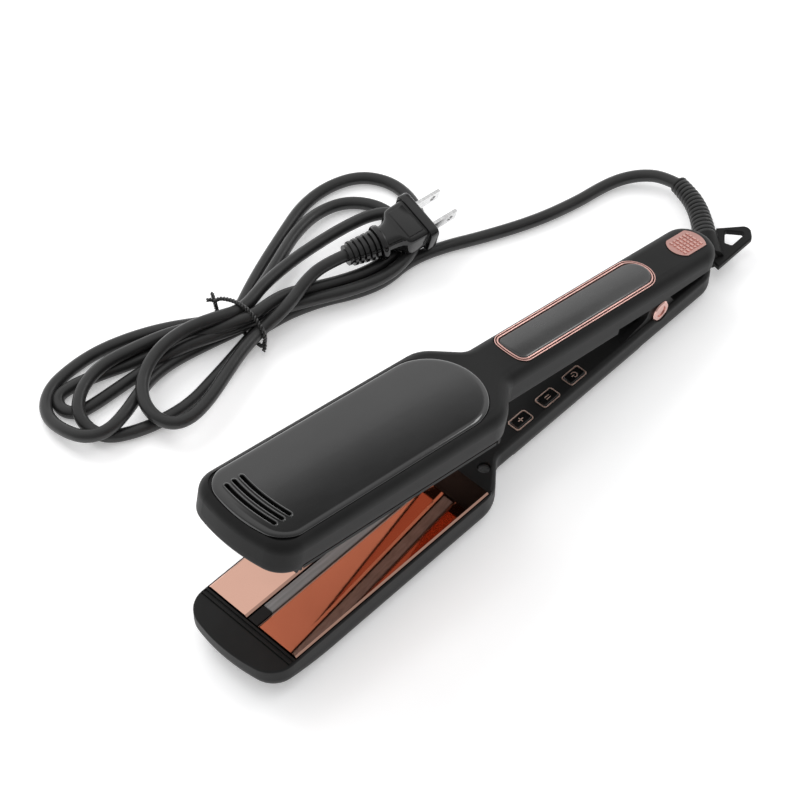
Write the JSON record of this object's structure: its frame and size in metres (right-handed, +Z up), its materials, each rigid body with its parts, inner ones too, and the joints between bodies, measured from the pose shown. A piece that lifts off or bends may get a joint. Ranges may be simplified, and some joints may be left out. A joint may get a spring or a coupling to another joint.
{
  "type": "flat iron",
  "caption": "Open flat iron hair straightener with wide rose-coloured floating plates, push buttons, a swivel lead with hang loop, and a tied-up cord with a mains plug.",
  "frame": {"origin": "on the plane the iron rests on, under the middle of the iron's length and width, without the free cord and its plug", "axes": "+X runs along the iron to its tips, +Y to the button side, +Z up from the resting face"},
  "size_m": [0.3341, 0.1891, 0.0928],
  "materials": {
    "black_shell": "soft-touch matt",
    "black_gloss": "high gloss",
    "grey_pad": "satin",
    "rose_metal": "polished rose plating",
    "plate_coat": "mirror-polished rose coating",
    "steel": "bright",
    "blade_nickel": "nickel plated",
    "ceramic": "fired ceramic",
    "board_green": "solder mask",
    "board_black": "moulded",
    "cord_jacket": "matt jacket",
    "tie_paper": "coated wire"
  },
  "bodies": {
    "lower_arm": {"board_parts": "board_black", "board_posts": "board_black", "button_bezels": "rose_metal", "circuit_board": "board_green", "cord_hank": "cord_jacket", "cord_lead": "cord_jacket", "cord_tail": "cord_jacket", "hinge_caps": "rose_metal", "hinge_pin": "steel", "hinge_spring": "steel", "lower_back_panel": "black_gloss", "lower_centre_strip": "grey_pad", "lower_deck": "black_shell", "lower_deck_screws": "steel", "lower_front_bar": "black_shell", "lower_grip_pad": "grey_pad", "lower_plate_frame": "black_shell", "lower_plate_springs": "steel", "lower_rear_bar": "black_shell", "lower_shell": "black_shell", "lower_strip_block": "black_shell", "lower_strip_bridge": "steel", "lower_thermal_fuse": "ceramic", "plug_blades": "blade_nickel", "plug_body": "black_gloss", "plug_boot": "black_gloss", "swivel_bush": "board_black", "twist_tie": "tie_paper"},
    "upper_arm": {"badge": "rose_metal", "hinge_lug": "black_shell", "trim_ring": "rose_metal", "upper_back_panel": "black_gloss", "upper_centre_strip": "grey_pad", "upper_deck": "black_shell", "upper_deck_screws": "steel", "upper_front_bar": "black_shell", "upper_grip_pad": "grey_pad", "upper_plate_frame": "black_shell", "upper_plate_springs": "steel", "upper_rear_bar": "black_shell", "upper_shell": "black_shell", "upper_strip_block": "black_shell", "upper_strip_bridge": "steel", "upper_thermal_fuse": "ceramic"},
    "cord_swivel": {"swivel_tail": "black_shell", "strain_relief": "cord_jacket"},
    "lower_plate_a_float": {"lower_plate_a": "plate_coat", "lower_heater_a": "ceramic"},
    "lower_plate_b_float": {"lower_plate_b": "plate_coat", "lower_heater_b": "ceramic"},
    "upper_plate_a_float": {"upper_plate_a": "plate_coat", "upper_heater_a": "ceramic"},
    "upper_plate_b_float": {"upper_plate_b": "plate_coat", "upper_heater_b": "ceramic"},
    "power_key": {"button_power": "black_gloss"},
    "minus_key": {"button_minus": "black_gloss"},
    "plus_key": {"button_plus": "black_gloss"}
  },
  "joints": [
    {"name": "arm_hinge", "type": "hinge", "parent": "lower_arm", "child": "upper_arm", "pos_m": [-0.091, 0, 0.0186], "axis": [0, 1, 0], "range_deg": [0, 12.7], "stiffness_Nm_per_rad": 0.5, "springref_deg": -57.3},
    {"name": "cord_swivel_turn", "type": "hinge", "parent": "lower_arm", "child": "cord_swivel", "pos_m": [-0.125, 0, 0.0095], "axis": [-1, 0, 0], "range_deg": [0, 40]},
    {"name": "lower_plate_a_give", "type": "slide", "parent": "lower_arm", "child": "lower_plate_a_float", "axis": [0, 0, -1], "range_m": [0, 0.0008], "stiffness_N_per_m": 2500, "springref_m": -0.001},
    {"name": "lower_plate_b_give", "type": "slide", "parent": "lower_arm", "child": "lower_plate_b_float", "axis": [0, 0, -1], "range_m": [0, 0.0008], "stiffness_N_per_m": 2500, "springref_m": -0.001},
    {"name": "upper_plate_a_give", "type": "slide", "parent": "upper_arm", "child": "upper_plate_a_float", "axis": [-0.2198, 0, 0.9755], "range_m": [0, 0.0008], "stiffness_N_per_m": 2500, "springref_m": -0.001},
    {"name": "upper_plate_b_give", "type": "slide", "parent": "upper_arm", "child": "upper_plate_b_float", "axis": [-0.2198, 0, 0.9755], "range_m": [0, 0.0008], "stiffness_N_per_m": 2500, "springref_m": -0.001},
    {"name": "power_press", "type": "slide", "parent": "lower_arm", "child": "power_key", "axis": [0, 0, -1], "range_m": [0, 0.0006], "stiffness_N_per_m": 800, "springref_m": -0.0008},
    {"name": "minus_press", "type": "slide", "parent": "lower_arm", "child": "minus_key", "axis": [0, 0, -1], "range_m": [0, 0.0006], "stiffness_N_per_m": 800, "springref_m": -0.0008},
    {"name": "plus_press", "type": "slide", "parent": "lower_arm", "child": "plus_key", "axis": [0, 0, -1], "range_m": [0, 0.0006], "stiffness_N_per_m": 800, "springref_m": -0.0008}
  ]
}
